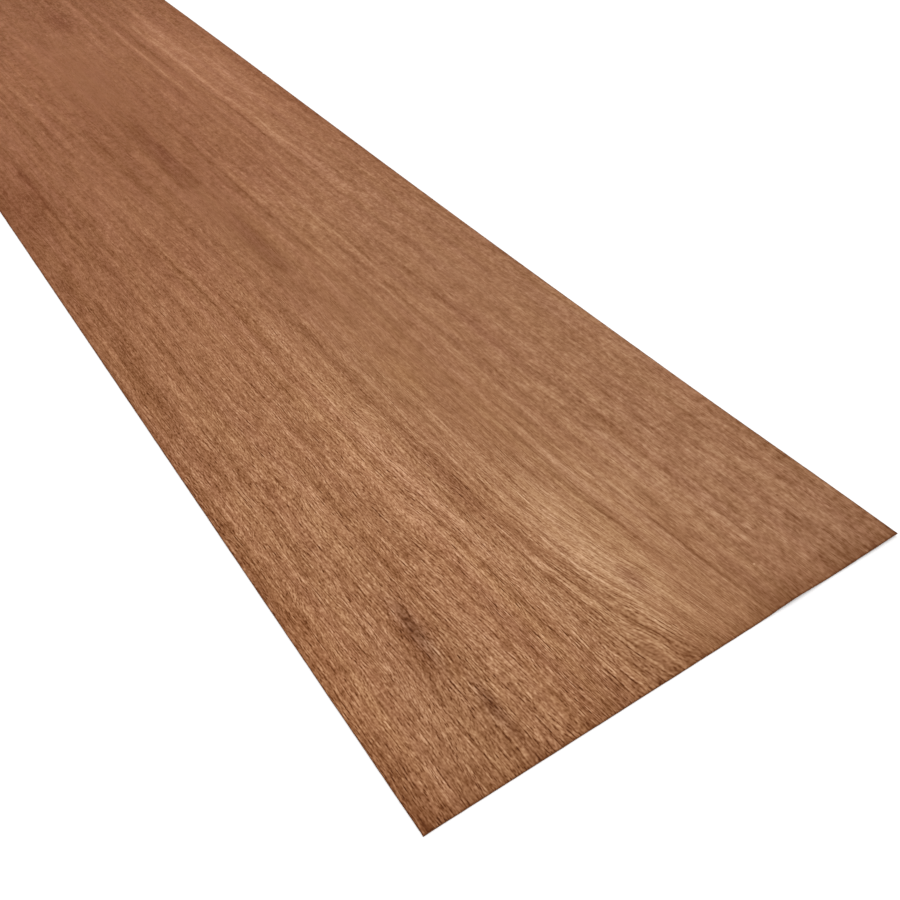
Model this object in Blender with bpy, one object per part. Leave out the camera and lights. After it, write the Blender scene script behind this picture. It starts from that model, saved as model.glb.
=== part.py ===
"""A single leaf of sliced wood veneer, lying face up on a level floor.

The grain runs along X, and the leaf's near end is at +X. Y runs across the grain and Z is up.
The origin is on the floor under the middle of the leaf. All sizes are in metres.

The leaf lies flat over its -Y half. Its +Y long edge curls up in one long bow that is highest
towards the far end, the +X +Y corner is lifted a little, a small ripple stands up at the near
end, and a chip is missing from the +Y edge.
"""

import math

import bmesh
import bpy

# The cut leaf.
LENGTH = 1.2192
WIDTH = 0.254
THICKNESS = 0.0006

# Long bow of the +Y edge, measured along the leaf from its near end and across it from the edge.
BOW_HEIGHT = 0.008
BOW_CREST_FROM_NEAR_END = 1.0
BOW_HALF_LENGTH = 0.80
BOW_REACH_ACROSS = 0.12

# Lift of the corner where the near end meets the +Y edge.
CORNER_LIFT = 0.0013
CORNER_RUN_ALONG = 0.15
CORNER_REACH_ACROSS = 0.09

# Ripple that stands up at the near end and dies out along the grain.
RIPPLE_HEIGHT = 0.0013
RIPPLE_CREST_FROM_EDGE = 0.067
RIPPLE_HALF_WIDTH = 0.025
RIPPLE_RUN_ALONG = 0.08

# Chip torn out of the +Y edge.
CHIP_FROM_NEAR_END = 0.650
CHIP_LENGTH = 0.003
CHIP_DEPTH = 0.001
CHIP_CUTTER_OVERSHOOT = 0.002

# The surface grid closes up towards the near end and the +Y edge, where the leaf curves most.
GRID_ALONG = 72
GRID_ACROSS = 30
GRADING_ALONG = 0.4
GRADING_ACROSS = 0.4

SMOOTH_ANGLE = math.radians(30.0)

NEAR_END_X = LENGTH / 2
BOWED_EDGE_Y = WIDTH / 2

WOOD_COLOUR = (0.34, 0.155, 0.078, 1.0)
WOOD_ROUGHNESS = 0.55


def clear_scene():
    for scene_object in list(bpy.data.objects):
        bpy.data.objects.remove(scene_object, do_unlink=True)


def wood_material():
    material = bpy.data.materials.new("veneer")
    material.use_nodes = True
    shader = material.node_tree.nodes["Principled BSDF"]
    shader.inputs["Base Color"].default_value = WOOD_COLOUR
    shader.inputs["Roughness"].default_value = WOOD_ROUGHNESS
    shader.inputs["Metallic"].default_value = 0.0
    return material


def swell(distance, reach):
    """A rounded hump: 1 at no distance, falling without a kink to 0 where the reach ends."""
    share = min(abs(distance) / reach, 1.0)
    return (1.0 + math.cos(math.pi * share)) / 2


def curl(distance, reach):
    """The curve of a strip held flat at its reach and lifted at its free edge, where it is 1."""
    share = max(1.0 - distance / reach, 0.0)
    return share * share * (3.0 - share) / 2


def height_off_floor(x, y):
    """How far the underside stands off the floor at one place on the leaf."""
    from_near_end = NEAR_END_X - x
    from_bowed_edge = BOWED_EDGE_Y - y
    bow = BOW_HEIGHT * swell(from_near_end - BOW_CREST_FROM_NEAR_END, BOW_HALF_LENGTH)
    bow *= curl(from_bowed_edge, BOW_REACH_ACROSS)
    corner = CORNER_LIFT * swell(from_near_end, CORNER_RUN_ALONG)
    corner *= curl(from_bowed_edge, CORNER_REACH_ACROSS)
    ripple = RIPPLE_HEIGHT * swell(from_near_end, RIPPLE_RUN_ALONG)
    ripple *= swell(from_bowed_edge - RIPPLE_CREST_FROM_EDGE, RIPPLE_HALF_WIDTH)
    return bow + corner + ripple


def graded(share, grading):
    """Moves a share of 0 to 1 so that steps start short and end long, with the ends kept."""
    return share * (1.0 - grading) + share * share * grading


def flat_blank(leaf):
    """The leaf as it leaves the guillotine: a flat rectangle of even thickness."""
    bmesh.ops.create_grid(leaf, x_segments=GRID_ALONG, y_segments=GRID_ACROSS, size=0.5)
    for vertex in leaf.verts:
        from_near_end = graded(0.5 - vertex.co.x, GRADING_ALONG) * LENGTH
        from_bowed_edge = graded(0.5 - vertex.co.y, GRADING_ACROSS) * WIDTH
        vertex.co = (NEAR_END_X - from_near_end, BOWED_EDGE_Y - from_bowed_edge, 0.0)
    extruded = bmesh.ops.extrude_face_region(leaf, geom=leaf.faces[:])
    upper = [item for item in extruded["geom"] if isinstance(item, bmesh.types.BMVert)]
    bmesh.ops.translate(leaf, verts=upper, vec=(0.0, 0.0, THICKNESS))
    bmesh.ops.recalc_face_normals(leaf, faces=leaf.faces[:])


def lift_off_floor(leaf):
    for vertex in leaf.verts:
        vertex.co.z += height_off_floor(vertex.co.x, vertex.co.y)


def chip_cutter():
    """A three-sided prism whose point reaches into the +Y edge."""
    chip_x = NEAR_END_X - CHIP_FROM_NEAR_END
    root_y = BOWED_EDGE_Y - CHIP_DEPTH
    outside_y = BOWED_EDGE_Y + CHIP_CUTTER_OVERSHOOT
    half_length = CHIP_LENGTH / 2 * (outside_y - root_y) / CHIP_DEPTH
    bottom_z = -CHIP_CUTTER_OVERSHOOT
    height = BOW_HEIGHT + CORNER_LIFT + THICKNESS + 2 * CHIP_CUTTER_OVERSHOOT
    cutter = bmesh.new()
    outline = ((chip_x, root_y), (chip_x + half_length, outside_y), (chip_x - half_length, outside_y))
    base = cutter.faces.new([cutter.verts.new((x, y, bottom_z)) for x, y in outline])
    extruded = bmesh.ops.extrude_face_region(cutter, geom=[base])
    upper = [item for item in extruded["geom"] if isinstance(item, bmesh.types.BMVert)]
    bmesh.ops.translate(cutter, verts=upper, vec=(0.0, 0.0, height))
    bmesh.ops.recalc_face_normals(cutter, faces=cutter.faces[:])
    cutter_object = object_from(cutter, "chip_cutter")
    cutter_object.hide_render = True
    cutter_object.display_type = "WIRE"
    return cutter_object


def object_from(mesh_source, name):
    mesh = bpy.data.meshes.new(name)
    mesh_source.to_mesh(mesh)
    mesh_source.free()
    new_object = bpy.data.objects.new(name, mesh)
    bpy.context.scene.collection.objects.link(new_object)
    return new_object


def veneer_sheet():
    leaf = bmesh.new()
    flat_blank(leaf)
    lift_off_floor(leaf)
    sheet = object_from(leaf, "veneer_sheet")
    sheet.data.materials.append(wood_material())
    sheet.data.shade_smooth()
    sheet.data.set_sharp_from_angle(angle=SMOOTH_ANGLE)
    chip = sheet.modifiers.new("chip", "BOOLEAN")
    chip.operation = "DIFFERENCE"
    chip.solver = "EXACT"
    chip.object = chip_cutter()
    return sheet


clear_scene()
veneer_sheet()
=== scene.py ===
import functools
import math
import operator

import bpy
import numpy as np
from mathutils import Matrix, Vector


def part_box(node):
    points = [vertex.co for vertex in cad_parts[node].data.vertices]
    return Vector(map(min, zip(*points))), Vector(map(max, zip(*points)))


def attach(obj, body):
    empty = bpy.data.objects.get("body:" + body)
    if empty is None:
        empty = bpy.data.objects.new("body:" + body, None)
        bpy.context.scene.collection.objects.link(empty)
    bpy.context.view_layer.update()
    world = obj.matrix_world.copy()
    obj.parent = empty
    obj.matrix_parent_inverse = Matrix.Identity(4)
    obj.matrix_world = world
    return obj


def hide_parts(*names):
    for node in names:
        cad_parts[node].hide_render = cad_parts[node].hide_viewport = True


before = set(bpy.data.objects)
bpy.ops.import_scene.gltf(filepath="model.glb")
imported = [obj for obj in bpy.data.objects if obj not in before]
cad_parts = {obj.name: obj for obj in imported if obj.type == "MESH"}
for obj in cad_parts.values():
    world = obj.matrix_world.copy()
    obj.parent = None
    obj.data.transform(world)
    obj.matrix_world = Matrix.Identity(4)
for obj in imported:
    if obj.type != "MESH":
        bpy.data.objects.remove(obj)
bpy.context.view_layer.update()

# Sizes are in metres, except in the wood's materials, which work in millimetres.
NODE = "veneer_sheet"
LOW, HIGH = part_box(NODE)
NEAR_END_X = HIGH.x
BOWED_EDGE_Y = HIGH.y
LENGTH = HIGH.x - LOW.x
WIDTH = HIGH.y - LOW.y
MM = 0.001

# The leaf's thickness, lifts and chip, as in the part's source.
THICKNESS = 0.0006
BOW_HEIGHT = 0.008
BOW_CREST_FROM_NEAR_END = 1.0
BOW_HALF_LENGTH = 0.80
BOW_REACH_ACROSS = 0.12
CORNER_LIFT = 0.0013
CORNER_RUN_ALONG = 0.15
CORNER_REACH_ACROSS = 0.09
RIPPLE_HEIGHT = 0.0013
RIPPLE_CREST_FROM_EDGE = 0.067
RIPPLE_HALF_WIDTH = 0.025
RIPPLE_RUN_ALONG = 0.08
CHIP_FROM_NEAR_END = 0.650
CHIP_LENGTH = 0.003
CHIP_DEPTH = 0.001

# The surface grid of the dressed leaf. It closes up towards the near end, the +Y edge and the chip.
COLUMNS = 380
ROWS = 92
GRADING = 0.4
CHIP_COLUMNS = 9
CLEAR_OF_CHIP = 0.6
SHARP_ANGLE = math.radians(25.0)

# The cut edge: a worn upper arris, and an outline made ragged by single fibres and by tufts.
ARRIS = 0.00012
RAGGED = 0.00012
RAGGED_SEED = 7
FIBRE_SHARE = 0.6
TUFT_SHARE = 0.4
TUFT_POINTS = 3
CHIP_STEP_POWER = 0.6

# The leaf's material slots, in their order.
FACE_SLOT, BACK_SLOT, EDGE_SLOT = 0, 1, 2

# The camera, from the perspective of the sheet's straight edges. It stands off the near end.
CAMERA_BEYOND_NEAR_END = 0.1399
CAMERA_Y = -0.2098
CAMERA_HEIGHT = 0.3228
CAMERA_PITCH_DOWN = 41.71
CAMERA_HEADING = 146.14
FOCAL_LENGTH_MM = 39.10
SENSOR_MM = 36.0
CAMERA_CLIP_START = 0.01

# The leaf's map of places: bands for the upper face, the underside and the cut edge, as shares of
# its height. The arris takes the upper part of the edge's band.
MAP_MARGIN = 0.004
UPPER_BAND = (0.385, 0.996)
UNDER_BAND = (0.022, 0.377)
EDGE_BAND = (0.004, 0.014)
ARRIS_SHARE_OF_BAND = 0.25

# The floor, a sheet of pale paper. What it glows more brings it to white.
FLOOR_SIZE = 12.0
FLOOR_BELOW = 0.0001
FLOOR_REFLECTANCE = 0.86
FLOOR_ROUGHNESS = 0.9
FLOOR_GLOW = 0.25

# The light: how bright the surroundings and the sun make a white surface that faces up.
WORLD_LEVEL = 0.62
SUN_LEVEL = 0.38
SUN_SPREAD = math.radians(57.0)
SUN_TILT = math.radians(7.0)


def swell(distance, reach):
    """A rounded hump: 1 at no distance, falling without a kink to 0 where the reach ends."""
    part = np.minimum(np.abs(distance) / reach, 1.0)
    return (1.0 + np.cos(np.pi * part)) / 2


def curl(distance, reach):
    """The curve of a strip held flat at its reach and lifted at its free edge, where it is 1."""
    part = np.maximum(1.0 - distance / reach, 0.0)
    return part * part * (3.0 - part) / 2


def height_off_floor(x, y):
    """How far the underside stands off the floor at each place on the leaf."""
    from_near_end = NEAR_END_X - x
    from_bowed_edge = BOWED_EDGE_Y - y
    bow = BOW_HEIGHT * swell(from_near_end - BOW_CREST_FROM_NEAR_END, BOW_HALF_LENGTH)
    bow = bow * curl(from_bowed_edge, BOW_REACH_ACROSS)
    corner = CORNER_LIFT * swell(from_near_end, CORNER_RUN_ALONG)
    corner = corner * curl(from_bowed_edge, CORNER_REACH_ACROSS)
    ripple = RIPPLE_HEIGHT * swell(from_near_end, RIPPLE_RUN_ALONG)
    ripple = ripple * swell(from_bowed_edge - RIPPLE_CREST_FROM_EDGE, RIPPLE_HALF_WIDTH)
    return bow + corner + ripple


def graded(count):
    """Shares from 0 to 1 in so many steps, which start short and end long."""
    even = np.linspace(0.0, 1.0, count + 1)
    return even * (1.0 - GRADING) + even * even * GRADING


def columns():
    """Distances of the grid's columns from the near end, closer together at the chip."""
    plain = graded(COLUMNS) * LENGTH
    near_chip = np.linspace(-0.5, 0.5, CHIP_COLUMNS) * CHIP_LENGTH + CHIP_FROM_NEAR_END
    clear = np.abs(plain - CHIP_FROM_NEAR_END) > CHIP_LENGTH * CLEAR_OF_CHIP
    return np.sort(np.concatenate([plain[clear], near_chip]))


def ragged_edge(count, seed):
    """How far a cut edge falls short of the outline: small uneven fibres, none at the corners."""
    random = np.random.default_rng(seed)
    fibres = random.random(count)
    tufts = np.repeat(random.random(count // TUFT_POINTS + 1), TUFT_POINTS)[:count]
    rough = fibres * FIBRE_SHARE + tufts * TUFT_SHARE
    rough[[0, -1]] = 0.0
    return rough * RAGGED


def chip_inset(from_near_end):
    """The chip's outline: a torn notch, deepest in its middle, with one stepped flank."""
    from_middle = np.abs(from_near_end - CHIP_FROM_NEAR_END) / (CHIP_LENGTH / 2)
    notch = np.clip(1.0 - from_middle, 0.0, 1.0)
    stepped = np.where(from_near_end > CHIP_FROM_NEAR_END, notch ** CHIP_STEP_POWER, notch)
    return CHIP_DEPTH * stepped


def leaf_outline_grid():
    """x and y of every grid point, with the outline's points drawn in by the ragged cut."""
    along = columns()
    across = graded(ROWS) * WIDTH
    x = np.repeat((NEAR_END_X - along)[:, None], len(across), axis=1)
    y = np.repeat((BOWED_EDGE_Y - across)[None, :], len(along), axis=0)
    y[:, 0] -= ragged_edge(len(along), RAGGED_SEED) + chip_inset(along)
    y[:, -1] += ragged_edge(len(along), RAGGED_SEED + 1)
    x[0, :] -= ragged_edge(len(across), RAGGED_SEED + 2)
    x[-1, :] += ragged_edge(len(across), RAGGED_SEED + 3)
    return x, y


def along_map(share_of_length):
    """Place along the map for a share of the leaf's length or of the way round its rim."""
    return MAP_MARGIN + share_of_length * (1.0 - 2 * MAP_MARGIN)


def face_map(x, from_side, band_of_map):
    """Places on the map for the grid of one face, in the same order as its points."""
    low, high = band_of_map
    right = along_map((NEAR_END_X - x) / LENGTH)
    up = low + from_side / WIDTH * (high - low)
    return np.stack([right, up], -1).reshape(-1, 2)


def worn_face(x, y, height):
    """The show face's points: its outline is drawn in by the worn arris."""
    inset_x = x.copy()
    inset_y = y.copy()
    inset_x[0, :] -= ARRIS
    inset_x[-1, :] += ARRIS
    inset_y[:, 0] -= ARRIS
    inset_y[:, -1] += ARRIS
    return np.stack([inset_x, inset_y, height + THICKNESS], -1).reshape(-1, 3)


def rim_loop(count_along, count_across):
    """Grid points around the outline, in order."""
    loop = [(i, 0) for i in range(count_along)]
    loop += [(count_along - 1, j) for j in range(1, count_across)]
    loop += [(i, count_across - 1) for i in range(count_along - 2, -1, -1)]
    loop += [(0, j) for j in range(count_across - 2, 0, -1)]
    return [i * count_across + j for i, j in loop]


def flat_faces(x, y):
    """Faces, slots and map places of the show face and the underside, one of each to a cell."""
    count_along, count_across = x.shape
    upper_map = face_map(x, BOWED_EDGE_Y - y, UPPER_BAND)
    under_map = face_map(x, y - LOW.y, UNDER_BAND)
    faces, slots, map_places = [], [], []
    for i in range(count_along - 1):
        for j in range(count_across - 1):
            a = i * count_across + j
            b, c, d = a + 1, a + count_across + 1, a + count_across
            faces.append((a, d, c, b))
            slots.append(FACE_SLOT)
            map_places += [upper_map[k] for k in (a, d, c, b)]
            faces.append(tuple(x.size + k for k in (a, b, c, d)))
            slots.append(BACK_SLOT)
            map_places += [under_map[k] for k in (a, b, c, d)]
    return faces, slots, map_places


def rim_faces(loop, per_side):
    """The same for the rim: the arris above, and the cut below it down to the underside."""
    low, high = EDGE_BAND
    middle = high - (high - low) * ARRIS_SHARE_OF_BAND
    faces, slots, map_places = [], [], []
    for k, upper in enumerate(loop):
        after = (k + 1) % len(loop)
        upper_after = loop[after]
        rim, rim_after = 2 * per_side + k, 2 * per_side + after
        left, right = along_map(k / len(loop)), along_map((k + 1) / len(loop))
        faces.append((upper, rim, rim_after, upper_after))
        map_places += [(left, high), (left, middle), (right, middle), (right, high)]
        faces.append((rim, per_side + upper, per_side + upper_after, rim_after))
        map_places += [(left, middle), (left, low), (right, low), (right, middle)]
        slots += [EDGE_SLOT, EDGE_SLOT]
    return faces, slots, map_places


def leaf_mesh():
    """Points, faces, slots and map places of the whole leaf."""
    x, y = leaf_outline_grid()
    height = height_off_floor(x, y)
    loop = rim_loop(*x.shape)
    show_face = worn_face(x, y, height)
    underside = np.stack([x, y, height], -1).reshape(-1, 3)
    rim = underside[loop] + np.array([0.0, 0.0, THICKNESS - ARRIS])
    sides = flat_faces(x, y)
    around = rim_faces(loop, x.size)
    return (np.concatenate([show_face, underside, rim]), *map(operator.add, sides, around))


def dressed_leaf(materials):
    """The leaf as an object, with its three materials in the order of the slots."""
    points, faces, slots, map_places = leaf_mesh()
    mesh = bpy.data.meshes.new("veneer_leaf")
    mesh.from_pydata([tuple(p) for p in points], [], faces)
    mesh.update()
    for material in materials:
        mesh.materials.append(material)
    mesh.polygons.foreach_set("material_index", slots)
    bake_map = mesh.uv_layers.new(name="OFBake")
    bake_map.data.foreach_set("uv", np.array(map_places, dtype=np.float32).ravel())
    mesh.shade_smooth()
    mesh.set_sharp_from_angle(angle=SHARP_ANGLE)
    leaf = bpy.data.objects.new("veneer_leaf", mesh)
    bpy.context.scene.collection.objects.link(leaf)
    return leaf


# Noise comes from 0 to 1 with its mean in the middle: this factor gives it a spread of about 1.
NOISE_FACTOR = 6.2

# How far each seed moves a texture, in cells.
SEED_STEP = (37.7, 91.3)


# In the trees below, a node is made after the nodes that feed it. The renderer works the wood's
# long tree out in about that order, and in another it would run out of room for what waits.
class Field:
    """A number that varies over a surface: an output in a material's node tree, with arithmetic."""

    def __init__(self, tree, socket):
        self.tree = tree
        self.socket = socket

    def node(self, kind, **settings):
        """A new node of the field's tree, with its settings."""
        made = self.tree.nodes.new(kind)
        for name, value in settings.items():
            setattr(made, name, value)
        return made

    def feed(self, target):
        """Links the field to a node's input."""
        self.tree.links.new(self.socket, target)

    def math(self, operation, *others):
        """The outcome of one operation on the field and other fields or numbers."""
        made = self.node("ShaderNodeMath", operation=operation)
        for target, source in zip(made.inputs, (self, *others)):
            if isinstance(source, Field):
                source.feed(target)
            else:
                target.default_value = source
        return Field(self.tree, made.outputs[0])

    def __add__(self, other):
        return self.math("ADD", other)

    def __sub__(self, other):
        return self.math("SUBTRACT", other)

    def __mul__(self, other):
        return self.math("MULTIPLY", other)

    def __abs__(self):
        return self.math("ABSOLUTE")

    def times_plus(self, factor, addend):
        """The field times the factor, plus the addend, in one node."""
        return self.math("MULTIPLY_ADD", factor, addend)


def share(value, start, end, curve="LINEAR"):
    """0 at start and 1 at end, and no further beyond them. The end may be the lower of the two."""
    if isinstance(value, Field):
        made = value.node("ShaderNodeMapRange", interpolation_type=curve)
        value.feed(made.inputs["Value"])
        turned = start > end
        made.inputs["From Min"].default_value = min(start, end)
        made.inputs["From Max"].default_value = max(start, end)
        made.inputs["To Min"].default_value = 1.0 if turned else 0.0
        made.inputs["To Max"].default_value = 0.0 if turned else 1.0
        return Field(value.tree, made.outputs["Result"])
    part = min(max((value - start) / (end - start), 0.0), 1.0)
    return part * part * (3.0 - 2.0 * part) if curve == "SMOOTHSTEP" else part


def rise(value, start, end):
    """Like share, with a smooth start and end."""
    return share(value, start, end, "SMOOTHSTEP")


def hump(value, middle, reach):
    """1 in the middle, falling smoothly to 0 where the reach ends on either side."""
    return rise(abs(value - middle), reach, 0.0)


def added(fields):
    """The sum of fields."""
    return functools.reduce(operator.add, fields)


def weighted(fields_and_factors):
    """The sum of fields, each times its factor."""
    total = None
    for field, factor in fields_and_factors:
        total = field * factor if total is None else field.times_plus(factor, total)
    return total


class Plane:
    """Two fields as the coordinates of a plane, to lay textures and spots on."""

    def __init__(self, x, y):
        self.x = x
        self.tree = x.tree
        made = x.node("ShaderNodeCombineXYZ")
        x.feed(made.inputs[0])
        y.feed(made.inputs[1])
        self.socket = made.outputs[0]

    def node(self, kind, *sockets, **settings):
        """A new node with its settings, and with outputs or plain numbers on its first inputs."""
        made = self.x.node(kind, **settings)
        for target, source in zip(made.inputs, sockets):
            if isinstance(source, tuple):
                target.default_value = source
            else:
                self.tree.links.new(source, target)
        return made

    def in_cells(self, cell_x, cell_y, seed):
        """The place counted in cells, in a part of the texture that the seed chooses."""
        made = self.node("ShaderNodeMapping", self.socket, vector_type="POINT")
        made.inputs["Location"].default_value = (seed * SEED_STEP[0], seed * SEED_STEP[1], 0.0)
        made.inputs["Scale"].default_value = (1.0 / cell_x, 1.0 / cell_y, 1.0)
        return made.outputs[0]

    def noise(self, cell_x, cell_y, seed):
        """A smooth random field with a mean of 0 and a spread of about 1."""
        place = self.in_cells(cell_x, cell_y, seed)
        made = self.node("ShaderNodeTexNoise", place, noise_dimensions="2D")
        made.inputs["Scale"].default_value = 1.0
        made.inputs["Detail"].default_value = 0.0
        return Field(self.tree, made.outputs[0]).times_plus(NOISE_FACTOR, -NOISE_FACTOR / 2)

    def cells(self, cell_x, cell_y, seed):
        """Loose cells: the offset from the cell's middle in x and y, and two random numbers."""
        place = self.in_cells(cell_x, cell_y, seed)
        made = self.node("ShaderNodeTexVoronoi", place, voronoi_dimensions="2D", feature="F1")
        made.inputs["Scale"].default_value = 1.0
        made.inputs["Randomness"].default_value = 1.0
        middle = made.outputs["Position"]
        offset = self.node("ShaderNodeVectorMath", place, middle, operation="SUBTRACT")
        scale = (cell_x, cell_y, 0.0)
        offset = self.node("ShaderNodeVectorMath", offset.outputs[0], scale, operation="MULTIPLY")
        parts = self.node("ShaderNodeSeparateXYZ", offset.outputs[0])
        chance = self.node("ShaderNodeSeparateColor", made.outputs["Color"])
        return [Field(self.tree, s) for s in (*parts.outputs[:2], *chance.outputs[:2])]

    def spot(self, middle_x, middle_y, reach_x, reach_y):
        """1 in the middle of an ellipse, falling smoothly to 0 at its rim."""
        scale = (1.0 / reach_x, 1.0 / reach_y, 0.0)
        shift = (-middle_x / reach_x, -middle_y / reach_y, 0.0)
        sockets = (self.socket, scale, shift)
        made = self.node("ShaderNodeVectorMath", *sockets, operation="MULTIPLY_ADD")
        length = self.node("ShaderNodeVectorMath", made.outputs[0], operation="LENGTH")
        return rise(Field(self.tree, length.outputs["Value"]), 1.0, 0.0)


def leaf_places(tree):
    """Distance from the near end and distance across from the middle, in millimetres."""
    place = tree.nodes.new("ShaderNodeTexCoord")
    parts = tree.nodes.new("ShaderNodeSeparateXYZ")
    tree.links.new(place.outputs["Object"], parts.inputs[0])
    x = Field(tree, parts.outputs[0])
    y = Field(tree, parts.outputs[1])
    return x.times_plus(-1.0 / MM, NEAR_END_X / MM), y * (1.0 / MM)


# From here to the end of the wood, lengths are in millimetres: "along" is the distance from the
# near end and "across" the distance from the leaf's middle towards +Y. The lightness of the wood
# is given as the level of red that it shows on screen, from 0 to 255.
MEAN_LEVEL = 160.0

# Colours of the wood, from the darkest pores to the palest flecks, as they look on screen.
WOOD_COLOURS = (
    (80, 42, 20),
    (100, 57, 31),
    (120, 74, 44),
    (137, 91, 59),
    (150, 103, 71),
    (160, 112, 79),
    (170, 122, 88),
    (180, 133, 98),
    (192, 146, 110),
    (205, 159, 123),
    (220, 175, 140),
)

# Trim of the green and blue shares of all these colours.
GREEN_TRIM = 1.010
BLUE_TRIM = 1.018

# How the growth lines run. They drift towards -Y the further they go, by shares of the way, and
# more so on both sides than in the middle. At the near end the lines of the middle sweep round
# towards +Y, the ones beside them fan out that way, and far along some step towards -Y. A pair of
# numbers is where a change is nil and where it is full, or for a hump its middle and reach.
DRIFT = 0.006
DRIFT_START = 160.0
DRIFT_LENGTH = 800.0
FLAT_SIDE = (-10.0, -55.0)
FLAT_SIDE_DRIFT = 0.026
BOWED_SIDE = (45.0, 80.0)
BOWED_SIDE_DRIFT = 0.020
SWEEP = 30.0
SWEEP_ALONG = (140.0, -50.0)
SWEEP_FLAT_FLANK = (-40.0, 12.0)
SWEEP_BOWED_FLANK = (72.0, 2.0)
FAN = 9.0
FAN_ALONG = (160.0, 0.0)
FAN_HUMP = (-50.0, 42.0)
STEP = 5.0
STEP_ALONG = (430.0, 580.0)
STEP_HUMP = (-42.0, 62.0)

# Waves of the growth lines: cell along and across, seed, height.
LINE_WAVES = (
    (130.0, 30.0, 1, 0.6),
    (34.0, 13.0, 2, 0.25),
)

# Random fields of one use each: cell along and across, and seed.
BRAID_NOISE = (50.0, 3.0, 3)
LEAN_NOISE = (26.0, 2.0, 4)
FIBRE_NOISE = (14.0, 4.0, 5)
BOLD_NOISE = (16.0, 4.5, 6)
LINE_NOISE = (45.0, 2.0, 41)
BLUR_ALONG_NOISE = (25.0, 6.0, 42)
BLUR_ACROSS_NOISE = (30.0, 3.0, 43)
GOLDEN_NOISE = (85.0, 7.0, 44)
GREY_NOISE = (60.0, 5.0, 45)
ISLAND_NOISE = (30.0, 5.0, 46)
TORN_NOISE = (7.0, 1.3, 47)
RELIEF_NOISE = (9.0, 0.7, 48)
CUT_NOISE = (0.7, 0.5, 51)
FIRST_LAYER_SEED = 11
FIRST_MARK_SEED = 31

# How far the fibres wave off the growth lines.
FIBRE_WAVE = 0.12

# The wood's three kinds. Coarse wood lies near the flat edge, and a little of it all over the near
# end. Mottled wood lies near the bowed edge and far along, and combed wood in the middle of the
# near end. Pairs are as for the growth lines, and coarse wood is lighter by a few levels.
COARSE_ALONG = (620.0, 80.0)
COARSE_ACROSS = (25.0, -55.0)
NEAR_ALONG = (330.0, 60.0)
NEAR_COARSE = 0.14
NEAR_MIDDLE_COARSE = 0.10
NEAR_MIDDLE_HUMP = (-5.0, 60.0)
MOTTLED_ALONG = (260.0, 460.0)
MOTTLED_ACROSS = (10.0, 70.0)
FAR_MOTTLED = 0.6
COMBED_ALONG = (190.0, 90.0)
COMBED_HUMP = (10.0, 52.0)
COARSE_LEVELS = 5.0

# Random layers of the grain: cell along and across, strength everywhere, extra where coarse,
# extra where mottled, and extra where combed.
LAYERS = (
    (300.0, 12.0, 1.7, 0.0, 0.0, 0.0),
    (220.0, 4.5, 1.9, -0.4, 0.0, 0.8),
    (95.0, 5.0, 1.0, -0.2, 0.0, 0.6),
    (180.0, 2.1, 1.9, 1.6, 0.0, 2.4),
    (70.0, 1.6, 1.1, 2.2, 0.0, 1.4),
    (40.0, 1.2, 1.3, 2.2, -0.4, 1.2),
    (70.0, 0.75, 0.6, 1.0, 0.0, 4.8),
    (30.0, 3.2, 1.2, 0.0, 1.0, 0.0),
    (25.0, 9.0, 1.4, 0.0, 0.6, 0.0),
    (12.0, 5.0, 1.4, 0.4, 0.9, -0.6),
    (5.5, 4.0, 1.3, 0.6, 1.0, -0.6),
    (5.0, 2.2, 1.6, 1.7, 1.8, -0.8),
    (2.0, 1.7, 1.2, 2.2, 2.4, 0.0),
    (11.0, 1.8, 1.7, 1.9, 0.6, 0.6),
    (11.0, 0.75, 2.0, 3.2, -1.1, 1.6),
    (3.4, 1.2, 1.8, 1.8, 0.6, -0.6),
    (3.0, 0.65, 1.7, 3.0, -0.9, 1.4),
    (1.3, 0.6, 1.6, 5.2, -0.6, 1.8),
)

# Marks that lie one to a cell: cell along and across, half width, share of the lean, and levels
# everywhere, extra where coarse, extra where mottled, and extra where combed.
MARKS = (
    (2.6, 1.2, 0.32, 0.6, -8.0, -38.0, -6.0, -6.0),
    (5.4, 1.5, 0.32, 0.2, -8.0, -34.0, 3.0, 0.0),
    (24.0, 1.7, 0.25, 0.0, -14.0, -36.0, 2.0, -10.0),
    (4.4, 1.6, 0.36, 0.3, 6.0, 2.0, -4.0, -2.0),
)

# The shape of a mark. It leans by a slope, which varies from mark to mark and from place to
# place and is larger in the braids. Beside it is a faint rim of the other sign. Reaches are in
# half widths, and the ends are shares of the cell's length. In the braids, the marks that lean
# most are stronger and the others weaker.
# The faint rim beside a mark is painted relief shading, like the lit edge of a groove.
LEAN = 0.07
LEAN_WAVES = 0.04
LEAN_IN_BRAIDS = 0.4
LEAN_SPREAD = 0.14
RIM_MIDDLE = 2.0
RIM_REACH = 1.1
RIM_DEPTH = -0.4
MARK_END = 0.5
MARK_FULL = 0.2
GAIN_FOR_LEAN = 1.5
LOSS_IN_BRAIDS = 0.7

# Scattered spots count as braids where their noise is high.
SCATTERED_BRAIDS = 0.6
SCATTERED_FROM_TO = (0.9, 1.8)

# Marks are bolder in some places than in others.
FAINTEST_MARKS = 0.7
BOLDER_BY = 0.6
BOLD_FROM_TO = (-1.6, 1.4)

# Rows of short leaning marks: start and end along, place across at the start, half width.
BRAIDS = (
    (110.0, 230.0, -69.0, 2.8),
    (105.0, 225.0, -48.5, 3.2),
    (5.0, 75.0, -98.0, 4.5),
    (20.0, 90.0, -88.0, 3.0),
    (60.0, 190.0, -114.0, 3.5),
    (170.0, 330.0, -92.0, 4.0),
    (230.0, 420.0, -62.0, 3.0),
    (60.0, 170.0, -26.0, 3.5),
    (330.0, 520.0, -102.0, 4.0),
)

# A streak's spot is wider than the streak looks, because it fades smoothly to its rim.
STREAK_WIDENING = 1.6

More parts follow.
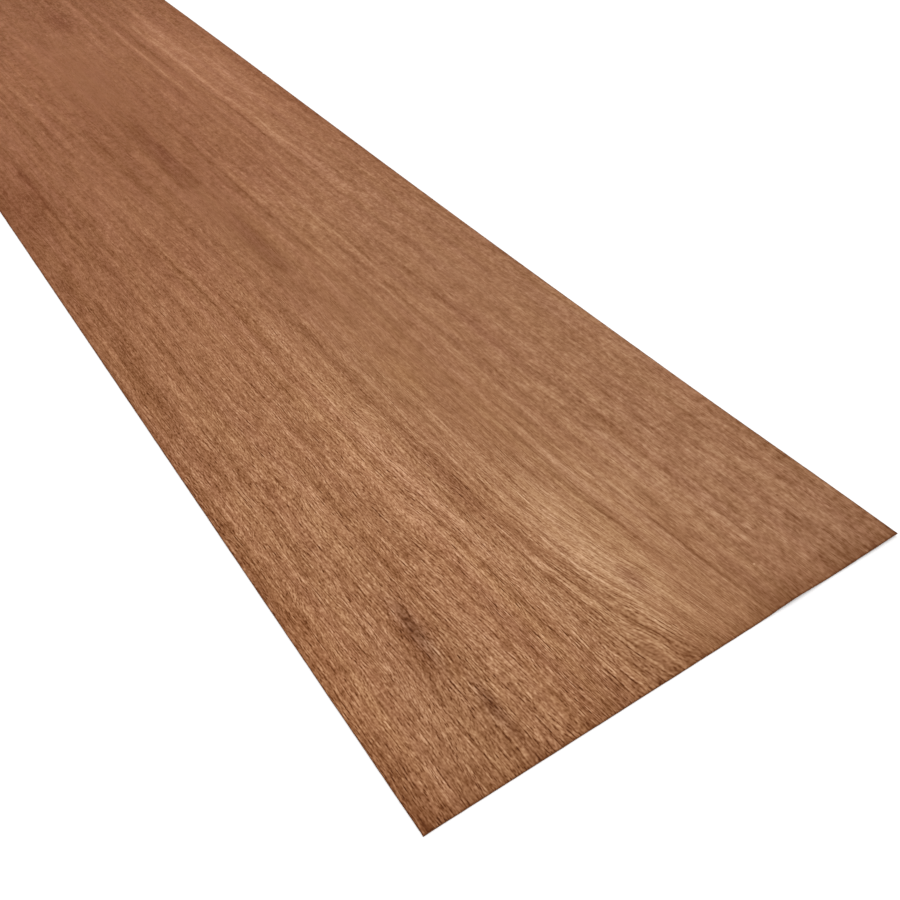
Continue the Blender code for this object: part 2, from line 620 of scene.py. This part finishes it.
# How uneven the growth lines that stand out are along their length.
FAINTEST_LINES = 0.7
STRONGER_BY = 0.75
LINES_FROM_TO = (-1.5, 1.0)

# Growth lines that stand out: start and end along, place across at the start, half width, levels.
LINES = (
    (0.0, 110.0, 1.0, 1.1, 13.0),
    (0.0, 60.0, 5.6, 1.0, -14.0),
    (90.0, 330.0, -8.0, 1.7, 8.0),
    (30.0, 290.0, -26.5, 3.2, 9.0),
    (20.0, 250.0, -37.5, 1.8, 9.0),
    (120.0, 185.0, -48.0, 1.1, 13.0),
    (110.0, 260.0, -76.0, 1.2, 9.0),
    (50.0, 150.0, -103.0, 2.8, 7.0),
    (190.0, 310.0, -98.5, 1.5, 9.0),
    (290.0, 460.0, -64.5, 1.3, 8.0),
    (290.0, 400.0, -83.0, 1.2, 7.0),
    (375.0, 560.0, -109.0, 1.4, 8.0),
    (425.0, 570.0, -15.0, 1.5, 8.0),
    (0.0, 85.0, 44.5, 1.5, 12.0),
    (82.0, 185.0, 34.0, 1.9, 13.0),
    (165.0, 300.0, 30.5, 1.2, 9.0),
    (140.0, 330.0, 41.0, 1.0, 12.0),
    (70.0, 150.0, 56.0, 4.5, 9.0),
    (235.0, 350.0, 49.0, 2.4, 9.0),
    (345.0, 470.0, 48.5, 1.3, 9.0),
    (70.0, 115.0, 74.5, 1.2, 9.0),
    (175.0, 245.0, 77.0, 0.9, 11.0),
    (185.0, 275.0, 110.5, 1.4, 8.0),
    (80.0, 160.0, 104.5, 1.0, 7.0),
    (335.0, 372.0, 28.0, 2.2, 12.0),
    (385.0, 560.0, 28.5, 1.5, 10.0),
    (380.0, 470.0, 37.0, 4.0, 6.0),
    (340.0, 580.0, 87.0, 3.6, 8.0),
    (430.0, 560.0, 59.0, 2.0, 7.0),
    (470.0, 680.0, 85.5, 2.4, 13.0),
    (640.0, 860.0, 59.5, 2.8, 17.0),
    (660.0, 850.0, 80.0, 2.6, 14.0),
    (690.0, 900.0, 93.0, 3.6, 13.0),
    (560.0, 700.0, 104.0, 3.0, 9.0),
    (770.0, 850.0, 38.0, 3.4, 12.0),
    (850.0, 960.0, 46.0, 3.0, 13.0),
    (590.0, 800.0, -54.0, 3.0, 11.0),
    (0.0, 150.0, -5.5, 1.1, -11.0),
    (10.0, 240.0, -34.0, 1.4, -11.0),
    (0.0, 60.0, -44.5, 1.0, -10.0),
    (45.0, 130.0, -68.0, 0.9, -18.0),
    (40.0, 75.0, -87.0, 1.2, -12.0),
    (120.0, 310.0, -19.5, 2.2, -10.0),
    (150.0, 220.0, -4.0, 1.5, -11.0),
    (130.0, 350.0, -88.0, 1.0, -11.0),
    (175.0, 400.0, -83.0, 1.1, -9.0),
    (215.0, 300.0, -65.5, 1.1, -10.0),
    (290.0, 420.0, -68.5, 1.0, -11.0),
    (215.0, 330.0, -111.5, 3.2, -10.0),
    (320.0, 430.0, -109.0, 1.2, -9.0),
    (135.0, 172.0, -104.0, 1.3, -12.0),
    (345.0, 450.0, -53.0, 1.6, -12.0),
    (295.0, 330.0, -44.0, 1.2, -14.0),
    (212.0, 248.0, -33.0, 1.8, -12.0),
    (300.0, 440.0, -11.0, 0.9, -9.0),
    (375.0, 470.0, -28.0, 1.3, -8.0),
    (500.0, 740.0, -69.0, 1.4, -11.0),
    (480.0, 620.0, -96.0, 2.6, -11.0),
    (505.0, 550.0, -31.5, 2.0, -11.0),
    (555.0, 630.0, -33.0, 2.4, -11.0),
    (590.0, 665.0, -60.5, 1.8, -10.0),
    (0.0, 95.0, 46.5, 1.2, -15.0),
    (0.0, 40.0, 53.0, 2.2, -12.0),
    (68.0, 112.0, 28.5, 1.8, -13.0),
    (105.0, 200.0, 27.0, 1.4, -8.0),
    (125.0, 345.0, 45.0, 1.0, -12.0),
    (160.0, 330.0, 67.0, 2.8, -10.0),
    (120.0, 148.0, 70.5, 1.3, -17.0),
    (330.0, 375.0, 42.5, 2.0, -12.0),
    (330.0, 590.0, 24.0, 1.5, -10.0),
    (270.0, 370.0, 61.5, 1.4, -8.0),
    (470.0, 660.0, 78.0, 1.4, -10.0),
    (680.0, 860.0, 68.0, 3.0, -12.0),
    (840.0, 900.0, 85.0, 2.4, -9.0),
)

# Lighter and darker parts of the wood: middle along and across, reach along and across, levels.
PATCHES = (
    (62.0, 8.0, 66.0, 20.0, 22.0),
    (60.0, 62.0, 50.0, 12.0, 5.0),
    (95.0, 3.0, 50.0, 9.0, 9.0),
    (112.0, 12.0, 26.0, 8.0, 9.0),
    (40.0, 18.0, 34.0, 8.0, 8.0),
    (85.0, 5.0, 170.0, 70.0, 6.0),
    (65.0, -62.0, 70.0, 14.0, 8.0),
    (175.0, -84.0, 60.0, 10.0, 6.0),
    (12.0, 24.0, 50.0, 16.0, 8.0),
    (190.0, -108.0, 60.0, 12.0, 5.0),
    (150.0, 0.0, 80.0, 12.0, 5.0),
    (100.0, 42.0, 46.0, 13.0, 14.0),
    (130.0, -127.0, 115.0, 20.0, -12.0),
    (60.0, -86.0, 40.0, 12.0, -6.0),
    (138.0, -22.0, 60.0, 15.0, -8.0),
    (2.0, -36.0, 34.0, 20.0, -7.0),
    (2.0, 104.0, 30.0, 16.0, -7.0),
    (680.0, 106.0, 130.0, 14.0, 8.0),
    (45.0, -88.0, 50.0, 10.0, -4.0),
    (430.0, 70.0, 110.0, 24.0, 4.0),
    (330.0, -1.0, 50.0, 10.0, -9.0),
    (420.0, -64.0, 70.0, 14.0, -8.0),
    (420.0, 43.0, 80.0, 13.0, 8.0),
    (720.0, 86.0, 140.0, 34.0, 5.0),
    (175.0, -36.0, 150.0, 34.0, 10.0),
    (76.0, -82.0, 46.0, 11.0, -13.0),
    (26.0, -77.5, 26.0, 8.0, -8.0),
    (10.0, 120.0, 70.0, 45.0, -6.0),
    (470.0, -125.0, 300.0, 70.0, -12.0),
    (540.0, -108.0, 80.0, 26.0, -8.0),
    (560.0, -20.0, 220.0, 70.0, -6.0),
    (620.0, 92.0, 260.0, 46.0, 8.0),
    (300.0, -114.0, 50.0, 9.0, -6.0),
    (0.0, -127.0, 60.0, 22.0, -12.0),
    (85.0, 127.0, 50.0, 13.0, -10.0),
    (800.0, 84.0, 130.0, 18.0, 11.0),
    (890.0, 24.0, 50.0, 16.0, -15.0),
    (850.0, -4.0, 40.0, 8.0, -9.0),
    (225.0, 7.0, 26.0, 8.0, 8.0),
    (315.0, 74.0, 30.0, 6.0, 7.0),
    (30.0, 104.0, 50.0, 14.0, 5.0),
)

# How far the lighter and darker parts' outlines wander along.
BLUR_ALONG = 6.0

# How torn the smudges look.
TORN = 0.35

# Dark smudges: middle along and across, reach along and across, levels.
SMUDGES = (
    (82.0, -81.8, 19.0, 3.4, -34.0),
    (70.0, -85.5, 20.0, 2.2, -16.0),
    (29.0, -77.0, 13.0, 3.8, -24.0),
    (48.0, 10.5, 13.0, 6.0, -26.0),
)

# Dark islands between the growth lines: start and end along, middle across, half width, levels.
ISLANDS = (
    (350.0, 440.0, 0.0, 8.0, -13.0),
    (490.0, 640.0, -3.0, 8.4, -11.0),
)

# An island's outline: how far its blunt start is spread along, how wide it is at the very start,
# where its side fades, inside and outside of its half width, and where it fades far along.
BLUNT_FROM_TO = (-4.0, 12.0)
BLUNT_WIDTH = 0.5
ISLAND_OUTSIDE = 1.5
ISLAND_INSIDE = 2.5
ISLAND_FADE = (25.0, -45.0)

# Parts where the figure is faint: middle along and across, reach along and across, share lost.
CALM_PARTS = (
    (730.0, -10.0, 200.0, 46.0, 0.55),
    (430.0, -3.0, 120.0, 22.0, 0.45),
    (280.0, 85.0, 140.0, 50.0, 0.25),
    (500.0, -30.0, 150.0, 60.0, 0.30),
    (700.0, 60.0, 300.0, 120.0, 0.30),
)

# Parts of another hue: middle along and across, reach along and across, change of the green and
# blue shares.
HUES = (
    (15.0, -85.0, 80.0, 50.0, 0.022, 0.035),
    (10.0, 112.0, 70.0, 44.0, 0.016, 0.050),
    (110.0, -14.0, 100.0, 24.0, -0.020, -0.026),
    (480.0, 98.0, 240.0, 56.0, 0.022, 0.014),
    (210.0, 84.0, 170.0, 64.0, -0.004, -0.026),
    (730.0, 0.0, 220.0, 150.0, -0.006, -0.024),
    (80.0, -127.0, 110.0, 30.0, -0.026, -0.064),
    (80.0, -82.0, 32.0, 7.0, -0.014, 0.080),
    (74.0, -82.0, 30.0, 5.5, 0.085, 0.200),
    (29.0, -77.5, 22.0, 6.0, 0.040, 0.160),
    (40.0, -82.0, 130.0, 50.0, 0.016, 0.004),
    (48.0, 10.0, 14.0, 7.0, 0.000, 0.070),
    (780.0, -45.0, 140.0, 60.0, -0.012, -0.024),
    (190.0, 84.0, 110.0, 44.0, -0.003, -0.012),
    (110.0, -43.0, 80.0, 22.0, -0.009, -0.014),
    (560.0, -110.0, 100.0, 34.0, -0.030, 0.010),
    (400.0, 0.0, 60.0, 10.0, -0.012, 0.060),
    (545.0, -2.0, 70.0, 12.0, -0.016, 0.070),
    (225.0, 7.0, 34.0, 11.0, 0.012, -0.060),
    (235.0, 64.0, 80.0, 9.0, -0.030, 0.010),
    (890.0, 24.0, 60.0, 20.0, -0.030, 0.020),
    (380.0, 40.0, 120.0, 40.0, 0.014, 0.000),
)

# Larger changes of hue: redder far along, pinker near the bowed edge, more golden at the near end
# and deeper red near the flat edge. Pairs are as for the growth lines, and a hue is the change of
# the green and the blue share.
FAR_ALONG = (180.0, 620.0)
FAR_HUE = (-0.09, -0.06)
# Pinker near the bowed edge is a painted sheen on the part that lifts.
PINK_ACROSS = (10.0, 90.0)
PINK_ALONG = (620.0, 150.0)
PINK_HUE = (0.03, 0.10)
GOLDEN_SPOT = (60.0, 10.0, 160.0, 70.0)
GOLDEN_GREEN = 0.02
DEEP_ACROSS = (-5.0, -55.0)
DEEP_ALONG = (600.0, 200.0)
DEEP_HUE = (-0.045, -0.075)

# Random changes of hue, for each spread of their noise.
GOLDEN_WAVES = (0.006, -0.008)
GREY_WAVES = (0.004, 0.010)

# Darkening of the near end: how far it reaches along, and levels.
END_SHADES = (
    (7.0, -8.0),
    (14.0, -8.0),
    (45.0, -6.0),
)

# Darkening of the long edges, and a line of painted shade along every edge, for the thin edge's shadow.
SIDE_SHADE_REACH = 9.0
SIDE_SHADE = -7.0
EDGE_SHADE_LINE_FROM_TO = (1.0, 0.2)
EDGE_SHADE_LINE = -24.0

# Darker far along, part wood tone, part painted shade of fading light: start and end along, and levels.
FAR_TONE_AND_SHADE = (
    (220.0, 620.0, -7.0),
    (760.0, 980.0, -9.0),
)

# Tiny specks: place along and across, radius, levels.
SPECKS = (
    (23.2, 59.5, 0.9, 60.0),
    (71.6, 98.8, 1.1, -30.0),
    (47.6, 101.2, 1.0, -34.0),
)

# The sheen of bare wood. Dark wood is a little rougher than pale wood: the levels between which
# the roughness changes, the roughness of the darkest and what the palest lacks. The face's own
# value counts where its nodes aren't read.
SPECULAR_LEVEL = 0.02
SHEEN_FROM_TO = (110.0, 190.0)
DARK_ROUGHNESS = 0.72
PALE_SMOOTHER_BY = 0.12
FACE_ROUGHNESS = 0.65
BACK_ROUGHNESS = 0.75
CUT_ROUGHNESS = 0.8

# The relief of the fibres: strength and depth.
RELIEF_STRENGTH = 0.5
RELIEF_DEPTH = 0.012

# The underside: how strong its lighter and darker parts are, and how much darker it is.
BACK_PATCHES = 0.8
BACK_DARKER = 5.0

# The cut edge: its level, and how much its level and hue vary from fibre to fibre.
CUT_LEVEL = 112.0
CUT_LEVEL_SPREAD = 8.0
CUT_HUE_SPREAD = 0.01


def growth_line(along, across):
    """The label of the growth line at a place. It is the same all along a line."""
    flat_side = rise(across, *FLAT_SIDE) * FLAT_SIDE_DRIFT
    drift = flat_side + rise(across, *BOWED_SIDE) * BOWED_SIDE_DRIFT + DRIFT
    label = across + (share(along, 0.0, DRIFT_LENGTH) * DRIFT_LENGTH - DRIFT_START) * drift
    swept = rise(across, *SWEEP_FLAT_FLANK) * rise(across, *SWEEP_BOWED_FLANK)
    label = label - rise(along, *SWEEP_ALONG) * swept * SWEEP
    label = label - share(along, *FAN_ALONG) * hump(across, *FAN_HUMP) * FAN
    return label + rise(along, *STEP_ALONG) * hump(across, *STEP_HUMP) * STEP


def streak(plane, start, end, across, half_width):
    """1 in the middle of a long thin spot along a growth line. It fades to half at both ends."""
    line = growth_line(start, across)
    return plane.spot((start + end) / 2.0, line, end - start, half_width * STREAK_WIDENING)


def coarse_part(along, across):
    """1 where the wood is coarse."""
    near = rise(along, *NEAR_ALONG)
    coarse = rise(along, *COARSE_ALONG) * rise(across, *COARSE_ACROSS)
    coarse = coarse + near * hump(across, *NEAR_MIDDLE_HUMP).times_plus(NEAR_MIDDLE_COARSE, NEAR_COARSE)
    return coarse.math("MINIMUM", 1.0)


def mottled_part(along, across):
    """1 where the wood is mottled."""
    far = rise(along, *MOTTLED_ALONG)
    return far.times_plus(FAR_MOTTLED, rise(across, *MOTTLED_ACROSS)).math("MINIMUM", 1.0)


class Wood:
    """The fields of the wood at each place of a face, all in one node tree."""

    def __init__(self, tree):
        along, across = leaf_places(tree)
        self.along = along
        self.across = across
        self.ground = Plane(along, across)
        waves = weighted((self.ground.noise(*noise), height) for *noise, height in LINE_WAVES)
        line = growth_line(along, across) + waves
        self.rings = Plane(along, line)
        self.grain = Plane(along, self.rings.noise(*FIBRE_NOISE).times_plus(FIBRE_WAVE, line))
        self.coarse = coarse_part(along, across)
        self.mottled = mottled_part(along, across)
        self.combed = rise(along, *COMBED_ALONG) * hump(across, *COMBED_HUMP)

    def strength(self, plain, coarse, mottled, combed):
        """How strong a layer or a mark is at each place, from a row of the tables above."""
        total = plain
        for field, factor in ((self.coarse, coarse), (self.mottled, mottled), (self.combed, combed)):
            if factor:
                total = field.times_plus(factor, total)
        return total

    def layers(self):
        """All random layers of the grain, weaker in the calm parts."""
        total = weighted(
            (self.grain.noise(cell_along, cell_across, seed), self.strength(*strengths))
            for seed, (cell_along, cell_across, *strengths) in enumerate(LAYERS, FIRST_LAYER_SEED)
        )
        calm = weighted((self.ground.spot(*place), -lost) for *place, lost in CALM_PARTS)
        return total * (calm + 1.0)

    def dashes(self, seed, cell_along, cell_across, half_width, lean_share, lean):
        """Short thin dashes: 1 in the middle of one, and a little under 0 close beside it."""
        u, v, strength, turn = self.grain.cells(cell_along, cell_across, seed)
        slope = turn.times_plus(LEAN_SPREAD, lean)
        aside = abs((u * slope).times_plus(-lean_share, v))
        # The rim beside a mark is painted relief shading, like the lit edge of a groove.
        beside = hump(aside, half_width * RIM_MIDDLE, half_width * RIM_REACH)
        profile = beside.times_plus(RIM_DEPTH, rise(aside, half_width, 0.0))
        ends = rise(abs(u), cell_along * MARK_END, cell_along * MARK_FULL)
        return profile * ends * strength

    def relief(self):
        """Fine ridges along the leaf. They keep off the growth lines, which would render slowly."""
        return self.ground.noise(*RELIEF_NOISE)

    def braids(self):
        """1 in the rows of short leaning marks, and somewhat braided in scattered spots."""
        total = share(self.rings.noise(*BRAID_NOISE), *SCATTERED_FROM_TO) * SCATTERED_BRAIDS
        for row in BRAIDS:
            total = total + streak(self.rings, *row)
        return total

    def marks(self):
        """All marks that lie one to a cell."""
        braided = self.braids()
        lean = self.rings.noise(*LEAN_NOISE).times_plus(LEAN_WAVES, braided * LEAN_IN_BRAIDS) - LEAN
        bold = share(self.rings.noise(*BOLD_NOISE), *BOLD_FROM_TO)
        bold = bold.times_plus(BOLDER_BY, FAINTEST_MARKS)
        rows = enumerate(MARKS, FIRST_MARK_SEED)
        return added(self.mark_row(seed, row, lean, braided) for seed, row in rows) * bold

    def mark_row(self, seed, row, lean, braided):
        """One kind of mark, from its row of the table."""
        *shape, plain, coarse, mottled, combed = row
        part = self.dashes(seed, *shape, lean) * self.strength(plain, coarse, mottled, combed)
        gain_in_braids = shape[-1] * GAIN_FOR_LEAN - LOSS_IN_BRAIDS
        return part * braided.times_plus(gain_in_braids, 1.0)

    def tone(self):
        """The level of the wood at each place, from its mean level, its layers and its marks."""
        return self.coarse.times_plus(COARSE_LEVELS, MEAN_LEVEL) + self.layers() + self.marks()


def marked_lines(wood):
    """The growth lines that stand out."""
    uneven = share(wood.rings.noise(*LINE_NOISE), *LINES_FROM_TO)
    uneven = uneven.times_plus(STRONGER_BY, FAINTEST_LINES)
    return weighted((streak(wood.grain, *place), levels) for *place, levels in LINES) * uneven


def islands(wood):
    """Dark patches of smooth wood that start bluntly on the near side and fade out far along."""
    wander = wood.rings.noise(*ISLAND_NOISE)
    return added(island(wood, wander, *row) for row in ISLANDS)


def island(wood, wander, start, end, across, half_width, levels):
    """One island, from its row of the table and a field that its outline wanders by."""
    blunt = rise(wood.along, start + BLUNT_FROM_TO[0], start + BLUNT_FROM_TO[1])
    aside = abs(wander.times_plus(1.0, wood.across - across))
    widened = aside.math("DIVIDE", blunt.times_plus(1.0 - BLUNT_WIDTH, BLUNT_WIDTH))
    width = rise(widened, half_width + ISLAND_OUTSIDE, half_width - ISLAND_INSIDE)
    return width * blunt * rise(wood.along, end + ISLAND_FADE[0], end + ISLAND_FADE[1]) * levels


def specks(wood):
    """Tiny specks, light and dark."""
    return weighted(
        (wood.ground.spot(along, across, radius, radius), levels)
        for along, across, radius, levels in SPECKS
    )


def smudges(wood):
    """Dark smudges with torn outlines."""
    torn = wood.rings.noise(*TORN_NOISE).times_plus(TORN, 1.0)
    return weighted((wood.ground.spot(*place), levels) for *place, levels in SMUDGES) * torn


def patches(wood):
    """Lighter and darker parts with outlines that wander."""
    blur_along = wood.rings.noise(*BLUR_ALONG_NOISE).times_plus(BLUR_ALONG, wood.along)
    blur_across = wood.rings.noise(*BLUR_ACROSS_NOISE) + wood.across
    blurred = Plane(blur_along, blur_across)
    return weighted((blurred.spot(*place), levels) for *place, levels in PATCHES)


def edge_levels(wood):
    """Darker towards the near end and the long edges, and a line of painted shade along every edge."""
    half = WIDTH / 2 / MM
    from_side = abs(wood.across).times_plus(-1.0, half)
    end = weighted((rise(wood.along, reach, 0.0), levels) for reach, levels in END_SHADES)
    side = rise(from_side, SIDE_SHADE_REACH, 0.0) * SIDE_SHADE
    # The line along every edge is painted shade, for the thin edge's shadow.
    line = rise(from_side.math("MINIMUM", wood.along), *EDGE_SHADE_LINE_FROM_TO) * EDGE_SHADE_LINE
    return end + side + line


def far_tone_and_shade(wood):
    """Darker far along: partly the wood's own tone, partly painted shade where the light falls off."""
    return added(rise(wood.along, start, end) * levels for start, end, levels in FAR_TONE_AND_SHADE)


def hue_changes(wood):
    """How much the green and the blue share of the colour change at a place."""
    golden = wood.ground.noise(*GOLDEN_NOISE)
    grey = wood.ground.noise(*GREY_NOISE)
    green = golden.times_plus(GOLDEN_WAVES[0], grey * GREY_WAVES[0])
    blue = golden.times_plus(GOLDEN_WAVES[1], grey * GREY_WAVES[1])
    for *place, more_green, more_blue in HUES:
        part = wood.ground.spot(*place)
        green = part.times_plus(more_green, green)
        blue = part.times_plus(more_blue, blue)
    return green, blue


def shaded(levels, green, blue):
    """The wood's colour for a level of lightness, with its green and blue shares changed."""
    darkest, palest = WOOD_COLOURS[0][0], WOOD_COLOURS[-1][0]
    made = levels.node("ShaderNodeValToRGB")
    stops = made.color_ramp.elements
    while len(stops) < len(WOOD_COLOURS):
        stops.new(0.5)
    for stop, colour in zip(stops, WOOD_COLOURS):
        stop.position = (colour[0] - darkest) / (palest - darkest)
        stop.color = (*srgb(*colour), 1.0)
    share(levels, darkest, palest).feed(made.inputs[0])
    tint = levels.node("ShaderNodeCombineXYZ")
    tint.inputs[0].default_value = 1.0
    (green + GREEN_TRIM).feed(tint.inputs[1])
    (blue + BLUE_TRIM).feed(tint.inputs[2])
    product = levels.node("ShaderNodeVectorMath", operation="MULTIPLY")
    levels.tree.links.new(made.outputs[0], product.inputs[0])
    levels.tree.links.new(tint.outputs[0], product.inputs[1])
    return product.outputs[0]


def wood_colour(wood, levels):
    """The wood's colour, from its levels and from all changes of hue."""
    far = rise(wood.along, *FAR_ALONG)
    # The pink near the bowed edge is a painted sheen.
    pink = rise(wood.across, *PINK_ACROSS) * rise(wood.along, *PINK_ALONG)
    golden = wood.ground.spot(*GOLDEN_SPOT)
    deep = rise(wood.across, *DEEP_ACROSS) * rise(wood.along, *DEEP_ALONG)
    green, blue = hue_changes(wood)
    far_green, far_blue = FAR_HUE
    pink_green, pink_blue = PINK_HUE
    deep_green, deep_blue = DEEP_HUE
    changes = ((far, far_green), (pink, pink_green), (golden, GOLDEN_GREEN), (deep, deep_green))
    green = green + weighted(changes)
    blue = blue + weighted(((far, far_blue), (pink, pink_blue), (deep, deep_blue)))
    return shaded(levels, green, blue)


def srgb(red, green, blue):
    """A colour given as it looks on screen, from 0 to 255, in linear light."""
    shares = (value / 255.0 for value in (red, green, blue))
    return tuple(s / 12.92 if s <= 0.04045 else ((s + 0.055) / 1.055) ** 2.4 for s in shares)


def new_material(name, roughness):
    """A material with the sheen of bare wood, its node tree and its shader."""
    material = bpy.data.materials.new(name)
    material.use_nodes = True
    shader = material.node_tree.nodes["Principled BSDF"]
    shader.inputs["Roughness"].default_value = roughness
    shader.inputs["Specular IOR Level"].default_value = SPECULAR_LEVEL
    return material, material.node_tree, shader


def face_material():
    """The show face, with all of the figure."""
    material, tree, shader = new_material("veneer_face", FACE_ROUGHNESS)
    wood = Wood(tree)
    levels = wood.tone() + marked_lines(wood) + islands(wood) + patches(wood) + specks(wood)
    levels = levels + smudges(wood) + edge_levels(wood) + far_tone_and_shade(wood)
    tree.links.new(wood_colour(wood, levels), shader.inputs["Base Color"])
    roughness = share(levels, *SHEEN_FROM_TO).times_plus(-PALE_SMOOTHER_BY, DARK_ROUGHNESS)
    roughness.feed(shader.inputs["Roughness"])
    bump = tree.nodes.new("ShaderNodeBump")
    bump.inputs["Strength"].default_value = RELIEF_STRENGTH
    bump.inputs["Distance"].default_value = RELIEF_DEPTH * MM
    wood.relief().feed(bump.inputs["Height"])
    tree.links.new(bump.outputs[0], shader.inputs["Normal"])
    return material


def back_material():
    """The underside: plain wood of the same kind, a little duller and darker."""
    material, tree, shader = new_material("veneer_back", BACK_ROUGHNESS)
    wood = Wood(tree)
    levels = patches(wood).times_plus(BACK_PATCHES, wood.tone())
    levels = levels + edge_levels(wood) - BACK_DARKER
    tree.links.new(wood_colour(wood, levels), shader.inputs["Base Color"])
    return material


def edge_material():
    """The cut edge: fine fibres, darker than the faces."""
    material, tree, shader = new_material("veneer_edge", CUT_ROUGHNESS)
    along, across = leaf_places(tree)
    fibres = Plane(along, across).noise(*CUT_NOISE)
    hue = fibres * CUT_HUE_SPREAD
    levels = fibres.times_plus(CUT_LEVEL_SPREAD, CUT_LEVEL)
    tree.links.new(shaded(levels, hue, hue), shader.inputs["Base Color"])
    return material


def seen_rays(tree):
    """1 for a ray from the camera, a reflection or glass, and 0 for the rays that light things."""
    path = tree.nodes.new("ShaderNodeLightPath")
    kinds = ("Is Camera Ray", "Is Glossy Ray", "Is Transmission Ray")
    camera, glossy, transmission = (Field(tree, path.outputs[kind]) for kind in kinds)
    return camera.math("MAXIMUM", glossy).math("MAXIMUM", transmission)


def floor_material():
    """Pale paper that looks white and still takes the leaf's shadow."""
    material = bpy.data.materials.new("floor_paper")
    material.use_nodes = True
    tree = material.node_tree
    shader = tree.nodes["Principled BSDF"]
    grey = FLOOR_REFLECTANCE
    shader.inputs["Base Color"].default_value = (grey, grey, grey, 1.0)
    shader.inputs["Roughness"].default_value = FLOOR_ROUGHNESS
    shader.inputs["Specular IOR Level"].default_value = 0.0
    glow = tree.nodes.new("ShaderNodeEmission")
    (seen_rays(tree) * FLOOR_GLOW).feed(glow.inputs["Strength"])
    both = tree.nodes.new("ShaderNodeAddShader")
    tree.links.new(shader.outputs[0], both.inputs[0])
    tree.links.new(glow.outputs[0], both.inputs[1])
    tree.links.new(both.outputs[0], tree.nodes["Material Output"].inputs["Surface"])
    return material


def plain_floor():
    """The floor under the leaf, which isn't part of it."""
    bpy.ops.mesh.primitive_plane_add(size=FLOOR_SIZE, location=(0.0, 0.0, -FLOOR_BELOW))
    floor = bpy.context.object
    floor.name = "floor"
    floor.data.materials.append(floor_material())


def studio_world():
    """Even light from all round, and a white background."""
    world = bpy.data.worlds.new("studio")
    bpy.context.scene.world = world
    world.use_nodes = True
    tree = world.node_tree
    background = tree.nodes["Background"]
    background.inputs["Color"].default_value = (1.0, 1.0, 1.0, 1.0)
    strength = seen_rays(tree).times_plus(1.0 - WORLD_LEVEL, WORLD_LEVEL)
    strength.feed(background.inputs["Strength"])


def soft_sun():
    """Even light from nearly overhead, as soft as a large lamp's."""
    sun = bpy.data.lights.new("overhead", "SUN")
    sun.angle = SUN_SPREAD
    sun.energy = SUN_LEVEL * math.pi
    holder = bpy.data.objects.new("overhead", sun)
    holder.rotation_euler = (-SUN_TILT, 0.0, 0.0)
    bpy.context.scene.collection.objects.link(holder)


def photo_camera():
    """The camera at the photograph's view, held by an object of its own name."""
    camera = bpy.data.cameras.new("photo_view")
    camera.sensor_width = SENSOR_MM
    camera.lens = FOCAL_LENGTH_MM
    camera.clip_start = CAMERA_CLIP_START
    holder = bpy.data.objects.new("photo_view", camera)
    holder.location = (NEAR_END_X + CAMERA_BEYOND_NEAR_END, CAMERA_Y, CAMERA_HEIGHT)
    tilt = math.radians(90.0 - CAMERA_PITCH_DOWN)
    turn = math.radians(CAMERA_HEADING - 90.0)
    holder.rotation_euler = (tilt, 0.0, turn)
    bpy.context.scene.collection.objects.link(holder)
    bpy.context.scene.camera = holder


photo_camera()
studio_world()
soft_sun()
plain_floor()
leaf = dressed_leaf((face_material(), back_material(), edge_material()))
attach(leaf, "root")
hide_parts(NODE)
bpy.context.scene.view_settings.view_transform = "Standard"

# The wood's colours guide the noise filter as they are, so that it keeps the fine fibre.
bpy.context.scene.cycles.denoising_prefilter = "NONE"
